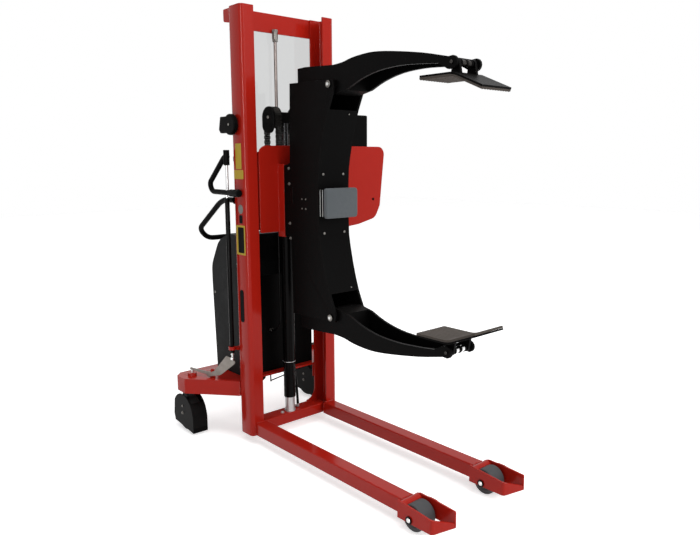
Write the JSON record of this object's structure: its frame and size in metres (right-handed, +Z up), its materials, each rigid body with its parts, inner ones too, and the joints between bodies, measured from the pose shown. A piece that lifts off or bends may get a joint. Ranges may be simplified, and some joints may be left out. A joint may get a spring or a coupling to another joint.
{
  "type": "reel handling stacker",
  "caption": "Walk-behind hydraulic stacker with two straddle legs and a lifting carriage whose rotating two-arm clamp grips a reel or roll by its rim.",
  "frame": {"origin": "on the floor, at the centre of the machine's overall length and width", "axes": "+Z up along the mast, -Y towards the reel, +X towards the side plate that carries the drive box"},
  "size_m": [0.892, 1.4757, 1.8],
  "materials": {
    "red_paint": "semi-gloss powder coat",
    "black_paint": "satin powder coat",
    "dark_plastic": "fine-grained",
    "clear_plastic": "clear sheet",
    "chrome": "polished",
    "zinc": "zinc plated",
    "steel": "machined",
    "grey_rubber": "matte",
    "black_rubber": "matte"
  },
  "bodies": {
    "chassis": {"near_column": "red_paint", "far_column": "red_paint", "top_beam": "red_paint", "cross_member": "black_paint", "screen": "clear_plastic", "guide_rod": "chrome", "near_leg": "red_paint", "far_leg": "red_paint", "crossbar": "red_paint", "near_nose": "red_paint", "far_nose": "red_paint", "near_load_axle": "steel", "far_load_axle": "steel", "base_plate": "red_paint", "lift_barrel": "black_paint", "rear_cover": "dark_plastic", "front_panel": "black_paint", "battery": "dark_plastic", "pump_motor": "black_paint", "push_bar": "black_paint", "control_base": "zinc", "guide_eye": "black_paint"},
    "near_load_roller_body": {"near_load_roller": "grey_rubber"},
    "far_load_roller_body": {"far_load_roller": "grey_rubber"},
    "near_swivel": {"near_caster_fork": "black_paint", "near_toe_guard": "black_paint"},
    "far_swivel": {"far_caster_fork": "black_paint", "far_toe_guard": "black_paint"},
    "near_wheel": {"near_caster_wheel": "black_rubber"},
    "far_wheel": {"far_caster_wheel": "black_rubber"},
    "handle": {"brake_handle": "black_paint"},
    "tube": {"brake_tube": "black_paint"},
    "foot_lever": {"brake_lever": "zinc"},
    "plunger": {"brake_plunger": "steel"},
    "lift_control": {"control_lever": "dark_plastic"},
    "crosshead_body": {"crosshead": "black_paint", "ram": "chrome", "near_chain": "steel", "far_chain": "steel"},
    "near_sheave_body": {"near_sheave": "black_paint"},
    "far_sheave_body": {"far_sheave": "black_paint"},
    "carriage_body": {"carriage": "red_paint", "slew_housing": "black_paint", "wing_plate": "red_paint", "drive_box": "black_paint"},
    "near_upper_roller_body": {"near_upper_roller": "steel"},
    "near_lower_roller_body": {"near_lower_roller": "steel"},
    "far_upper_roller_body": {"far_upper_roller": "steel"},
    "far_lower_roller_body": {"far_lower_roller": "steel"},
    "clamp": {"clamp_body": "black_paint", "buffer_pad": "grey_rubber", "clamp_cylinder": "steel"},
    "upper_arm_body": {"upper_arm": "black_paint"},
    "lower_arm_body": {"lower_arm": "black_paint"},
    "upper_rod_body": {"upper_cylinder_rod": "chrome"},
    "lower_rod_body": {"lower_cylinder_rod": "chrome"},
    "upper_pad_body": {"upper_pad": "black_paint", "upper_pad_rubber": "black_rubber"},
    "lower_pad_body": {"lower_pad": "black_paint", "lower_pad_rubber": "black_rubber"}
  },
  "joints": [
    {"name": "carriage_lift", "type": "slide", "parent": "chassis", "child": "carriage_body", "axis": [0, 0, 1], "range_m": [-0.32, 0.5]},
    {"name": "crosshead_slide", "type": "slide", "parent": "chassis", "child": "crosshead_body", "axis": [0, 0, 1], "range_m": [-0.16, 0.25], "deforming": ["near_chain", "far_chain"]},
    {"name": "near_sheave_turn", "type": "hinge", "parent": "crosshead_body", "child": "near_sheave_body", "pos_m": [-0.116, 0.3545, 1.377], "axis": [1, 0, 0], "continuous": true},
    {"name": "near_upper_roller_turn", "type": "hinge", "parent": "carriage_body", "child": "near_upper_roller_body", "pos_m": [-0.255, 0.353, 1.212], "axis": [1, 0, 0], "continuous": true},
    {"name": "near_lower_roller_turn", "type": "hinge", "parent": "carriage_body", "child": "near_lower_roller_body", "pos_m": [-0.255, 0.353, 0.952], "axis": [1, 0, 0], "continuous": true},
    {"name": "far_sheave_turn", "type": "hinge", "parent": "crosshead_body", "child": "far_sheave_body", "pos_m": [0.014, 0.3545, 1.377], "axis": [1, 0, 0], "continuous": true},
    {"name": "far_upper_roller_turn", "type": "hinge", "parent": "carriage_body", "child": "far_upper_roller_body", "pos_m": [0.153, 0.353, 1.212], "axis": [1, 0, 0], "continuous": true},
    {"name": "far_lower_roller_turn", "type": "hinge", "parent": "carriage_body", "child": "far_lower_roller_body", "pos_m": [0.153, 0.353, 0.952], "axis": [1, 0, 0], "continuous": true},
    {"name": "clamp_rotate", "type": "hinge", "parent": "carriage_body", "child": "clamp", "pos_m": [-0.051, 0.232, 1.035], "axis": [0, 1, 0], "range_deg": [-90, 90]},
    {"name": "upper_arm_swing", "type": "hinge", "parent": "clamp", "child": "upper_arm_body", "pos_m": [-0.051, -0.033, 1.478], "axis": [1, 0, 0], "range_deg": [0, 26]},
    {"name": "lower_arm_swing", "type": "hinge", "parent": "clamp", "child": "lower_arm_body", "pos_m": [-0.051, -0.033, 0.592], "axis": [1, 0, 0], "range_deg": [-26, 0]},
    {"name": "upper_rod_slide", "type": "slide", "parent": "clamp", "child": "upper_rod_body", "axis": [0, 0, 1], "range_m": [0, 0.073]},
    {"name": "lower_rod_slide", "type": "slide", "parent": "clamp", "child": "lower_rod_body", "axis": [0, 0, 1], "range_m": [-0.073, 0]},
    {"name": "upper_pad_tilt", "type": "hinge", "parent": "upper_arm_body", "child": "upper_pad_body", "pos_m": [-0.051, -0.608, 1.497], "axis": [1, 0, 0], "range_deg": [-12, 12], "stiffness_Nm_per_rad": 25},
    {"name": "lower_pad_tilt", "type": "hinge", "parent": "lower_arm_body", "child": "lower_pad_body", "pos_m": [-0.051, -0.608, 0.573], "axis": [1, 0, 0], "range_deg": [-12, 12], "stiffness_Nm_per_rad": 25},
    {"name": "near_load_roller_spin", "type": "hinge", "parent": "chassis", "child": "near_load_roller_body", "pos_m": [-0.2385, -0.61, 0.046], "axis": [1, 0, 0], "continuous": true},
    {"name": "near_caster_swivel", "type": "hinge", "parent": "chassis", "child": "near_swivel", "pos_m": [-0.393, 0.616, 0.2], "axis": [0, 0, 1], "continuous": true},
    {"name": "near_caster_spin", "type": "hinge", "parent": "near_swivel", "child": "near_wheel", "pos_m": [-0.393, 0.652, 0.08], "axis": [1, 0, 0], "continuous": true},
    {"name": "far_load_roller_spin", "type": "hinge", "parent": "chassis", "child": "far_load_roller_body", "pos_m": [0.1365, -0.61, 0.046], "axis": [1, 0, 0], "continuous": true},
    {"name": "far_caster_swivel", "type": "hinge", "parent": "chassis", "child": "far_swivel", "pos_m": [0.291, 0.616, 0.2], "axis": [0, 0, 1], "continuous": true},
    {"name": "far_caster_spin", "type": "hinge", "parent": "far_swivel", "child": "far_wheel", "pos_m": [0.291, 0.652, 0.08], "axis": [1, 0, 0], "continuous": true},
    {"name": "brake_handle_lift", "type": "hinge", "parent": "chassis", "child": "handle", "pos_m": [-0.3015, 0.352, 1.069], "axis": [1, 0, 0], "range_deg": [0, 12]},
    {"name": "brake_tube_slide", "type": "slide", "parent": "chassis", "child": "tube", "axis": [0, 0, 1], "range_m": [0, 0.0131]},
    {"name": "brake_lever_turn", "type": "hinge", "parent": "chassis", "child": "foot_lever", "pos_m": [-0.34842, 0.52149, 0.29], "axis": [-0.9044, -0.4266, 0], "range_deg": [0, 6.5]},
    {"name": "brake_plunger_slide", "type": "slide", "parent": "chassis", "child": "plunger", "axis": [0, 0, 1], "range_m": [-0.0127, 0]},
    {"name": "lift_control_turn", "type": "hinge", "parent": "chassis", "child": "lift_control", "pos_m": [-0.286, 0.373, 1.343], "axis": [1, 0, 0], "range_deg": [-20, 20], "stiffness_Nm_per_rad": 5}
  ],
  "couplings": [
    {"joint": "crosshead_slide", "follows": "carriage_lift", "ratio": 0.5},
    {"joint": "near_sheave_turn", "follows": "carriage_lift", "rad_per_m": -12},
    {"joint": "near_upper_roller_turn", "follows": "carriage_lift", "rad_per_m": 27},
    {"joint": "near_lower_roller_turn", "follows": "carriage_lift", "rad_per_m": -27},
    {"joint": "far_sheave_turn", "follows": "carriage_lift", "rad_per_m": -12},
    {"joint": "far_upper_roller_turn", "follows": "carriage_lift", "rad_per_m": 27},
    {"joint": "far_lower_roller_turn", "follows": "carriage_lift", "rad_per_m": -27},
    {"joint": "lower_arm_swing", "follows": "upper_arm_swing", "ratio": -1},
    {"joint": "upper_rod_slide", "follows": "upper_arm_swing", "m_per_rad": 0.16},
    {"joint": "lower_rod_slide", "follows": "upper_arm_swing", "m_per_rad": -0.16},
    {"joint": "brake_tube_slide", "follows": "brake_handle_lift", "m_per_rad": 0.062},
    {"joint": "brake_lever_turn", "follows": "brake_handle_lift", "ratio": 0.54},
    {"joint": "brake_plunger_slide", "follows": "brake_handle_lift", "m_per_rad": -0.06}
  ]
}
